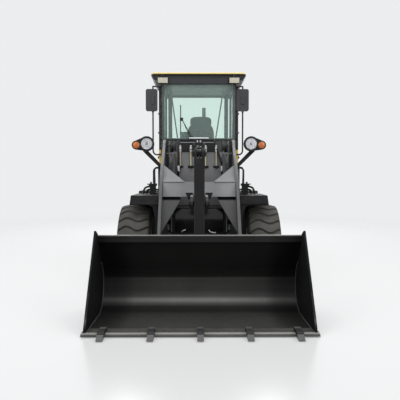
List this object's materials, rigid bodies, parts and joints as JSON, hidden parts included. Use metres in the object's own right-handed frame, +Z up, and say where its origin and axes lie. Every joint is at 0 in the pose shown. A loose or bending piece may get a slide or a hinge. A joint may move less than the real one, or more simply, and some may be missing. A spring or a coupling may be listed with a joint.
{
  "type": "wheel loader",
  "caption": "Compact articulated wheel loader with a glazed cab, lift arms, tilt linkage and a toothed general purpose bucket.",
  "frame": {"origin": "on the ground under the middle of the machine", "axes": "+Z up, +Y towards the rear, +X towards the driver's left"},
  "size_m": [2.14, 5.87, 2.9548],
  "materials": {
    "arm_paint": "satin charcoal paint",
    "frame_paint": "satin black paint",
    "body_yellow": "gloss yellow paint",
    "cab_paint": "satin dark grey paint",
    "cab_glass": "greenish tinted",
    "tyre_rubber": "dull moulded rubber",
    "rim_paint": "satin grey paint",
    "edge_steel": "painted hard steel",
    "chrome_rod": "hard chrome",
    "pipe_zinc": "zinc plated",
    "hose_rubber": "matte",
    "fender_plastic": "matte black",
    "seat_fabric": "dark grey woven",
    "console_plastic": "matte dark grey",
    "lamp_lens": "clear",
    "indicator_lens": "clear orange",
    "tail_lens": "clear red",
    "work_lens": "clear cream",
    "engine_iron": "painted cast iron",
    "radiator_fins": "black finned core"
  },
  "bodies": {
    "rear_frame": {"rear_frame": "frame_paint", "counterweight": "frame_paint", "tow_hitch": "frame_paint", "engine_block": "engine_iron", "radiator_core": "radiator_fins", "rear_axle": "frame_paint", "rear_fenders": "fender_plastic", "side_tanks": "frame_paint", "cab_floor": "cab_paint", "cab_front": "cab_paint", "cab_rear": "cab_paint", "cab_sides": "cab_paint", "roof_liner": "cab_paint", "cab_roof": "body_yellow", "cab_glass": "cab_glass", "operator_seat": "seat_fabric", "cab_console": "console_plastic", "mirrors": "fender_plastic", "handrails": "frame_paint", "work_lamps": "work_lens", "tail_lamps": "tail_lens", "steer_barrels": "frame_paint"},
    "front_frame": {"front_frame": "frame_paint", "front_axle": "frame_paint", "front_fenders": "fender_plastic", "headlamp_brackets": "frame_paint", "headlamp_lenses": "lamp_lens", "indicator_lenses": "indicator_lens", "hydraulic_pipes": "pipe_zinc", "hydraulic_hoses": "hose_rubber"},
    "boom": {"boom_arm_left": "arm_paint", "boom_arm_right": "arm_paint", "boom_crossbeam": "arm_paint"},
    "bucket": {"bucket_shell": "arm_paint", "cutting_edge": "edge_steel", "bucket_teeth": "arm_paint"},
    "bellcrank": {"bellcrank": "arm_paint"},
    "tilt_link": {"tilt_link": "arm_paint"},
    "tilt_barrel": {"tilt_barrel": "frame_paint"},
    "tilt_rod": {"tilt_rod": "chrome_rod"},
    "lift_barrels": {"lift_barrels": "frame_paint"},
    "lift_rods": {"lift_rods": "chrome_rod"},
    "steer_rod_left": {"steer_rod_left": "chrome_rod"},
    "steer_rod_right": {"steer_rod_right": "chrome_rod"},
    "door_left": {"door_left": "body_yellow", "door_left_glass": "cab_glass"},
    "door_right": {"door_right": "body_yellow", "door_right_glass": "cab_glass"},
    "engine_hood": {"engine_hood": "body_yellow", "rear_grille": "frame_paint", "exhaust_stack": "frame_paint", "air_precleaner": "frame_paint"},
    "wheel_front_left": {"tyre_front_left": "tyre_rubber", "rim_front_left": "rim_paint"},
    "wheel_front_right": {"tyre_front_right": "tyre_rubber", "rim_front_right": "rim_paint"},
    "wheel_rear_left": {"tyre_rear_left": "tyre_rubber", "rim_rear_left": "rim_paint"},
    "wheel_rear_right": {"tyre_rear_right": "tyre_rubber", "rim_rear_right": "rim_paint"}
  },
  "joints": [
    {"name": "steering", "type": "hinge", "parent": "rear_frame", "child": "front_frame", "pos_m": [0, 0.46, 0.7], "axis": [0, 0, 1], "range_deg": [-35, 35]},
    {"name": "boom_lift", "type": "hinge", "parent": "front_frame", "child": "boom", "pos_m": [0, -0.295, 1.82], "axis": [-1, 0, 0], "range_deg": [0, 84]},
    {"name": "bucket_tilt", "type": "hinge", "parent": "boom", "child": "bucket", "pos_m": [0, -1.645, 0.26], "axis": [1, 0, 0], "range_deg": [-40, 122]},
    {"name": "crank_swing", "type": "hinge", "parent": "boom", "child": "bellcrank", "pos_m": [0, -1.256, 1.109], "axis": [-1, 0, 0], "range_deg": [-7.97, 24.11]},
    {"name": "link_swing", "type": "hinge", "parent": "bellcrank", "child": "tilt_link", "pos_m": [0, -1.415, 0.39], "axis": [1, 0, 0], "range_deg": [-23.44, 71.29]},
    {"name": "tilt_barrel_swing", "type": "hinge", "parent": "boom", "child": "tilt_barrel", "pos_m": [0, -0.295, 1.82], "axis": [1, 0, 0], "range_deg": [-3.14, 9.38]},
    {"name": "tilt_rod_slide", "type": "slide", "parent": "tilt_barrel", "child": "tilt_rod", "axis": [0, 0.9924, 0.1227], "range_m": [-0.072, 0.219]},
    {"name": "lift_barrel_swing", "type": "hinge", "parent": "front_frame", "child": "lift_barrels", "pos_m": [0, -0.065, 0.66], "axis": [-1, 0, 0], "range_deg": [0, 11.26]},
    {"name": "lift_rod_slide", "type": "slide", "parent": "lift_barrels", "child": "lift_rods", "axis": [0, -0.5778, 0.8162], "range_m": [0, 0.625]},
    {"name": "steer_rod_left_slide", "type": "slide", "parent": "rear_frame", "child": "steer_rod_left", "axis": [0, 1, 0], "range_m": [-0.1616, 0.1616]},
    {"name": "steer_rod_right_slide", "type": "slide", "parent": "rear_frame", "child": "steer_rod_right", "axis": [0, -1, 0], "range_m": [-0.1616, 0.1616]},
    {"name": "door_left_hinge", "type": "hinge", "parent": "rear_frame", "child": "door_left", "pos_m": [0.59, 1.26, 2], "axis": [0, 0, 1], "range_deg": [0, 100]},
    {"name": "door_right_hinge", "type": "hinge", "parent": "rear_frame", "child": "door_right", "pos_m": [-0.59, 1.26, 2], "axis": [0, 0, -1], "range_deg": [0, 100]},
    {"name": "hood_hinge", "type": "hinge", "parent": "rear_frame", "child": "engine_hood", "pos_m": [0, 2.825, 1.13], "axis": [-1, 0, 0], "range_deg": [0, 50]},
    {"name": "wheel_front_left_spin", "type": "hinge", "parent": "front_frame", "child": "wheel_front_left", "pos_m": [0.8, -0.715, 0.5375], "axis": [1, 0, 0], "continuous": true},
    {"name": "wheel_front_right_spin", "type": "hinge", "parent": "front_frame", "child": "wheel_front_right", "pos_m": [-0.8, -0.715, 0.5375], "axis": [1, 0, 0], "continuous": true},
    {"name": "wheel_rear_left_spin", "type": "hinge", "parent": "rear_frame", "child": "wheel_rear_left", "pos_m": [0.8, 1.635, 0.5375], "axis": [1, 0, 0], "continuous": true},
    {"name": "wheel_rear_right_spin", "type": "hinge", "parent": "rear_frame", "child": "wheel_rear_right", "pos_m": [-0.8, 1.635, 0.5375], "axis": [1, 0, 0], "continuous": true}
  ],
  "couplings": [
    {"joint": "crank_swing", "follows": "bucket_tilt", "ratio": 0.1968},
    {"joint": "link_swing", "follows": "bucket_tilt", "ratio": 0.5835},
    {"joint": "tilt_barrel_swing", "follows": "bucket_tilt", "ratio": 0.0761},
    {"joint": "tilt_rod_slide", "follows": "bucket_tilt", "m_per_rad": 0.1023},
    {"joint": "lift_barrel_swing", "follows": "boom_lift", "ratio": 0.1328},
    {"joint": "lift_rod_slide", "follows": "boom_lift", "m_per_rad": 0.4256},
    {"joint": "steer_rod_left_slide", "follows": "steering", "m_per_rad": 0.2629},
    {"joint": "steer_rod_right_slide", "follows": "steering", "m_per_rad": 0.2629}
  ]
}
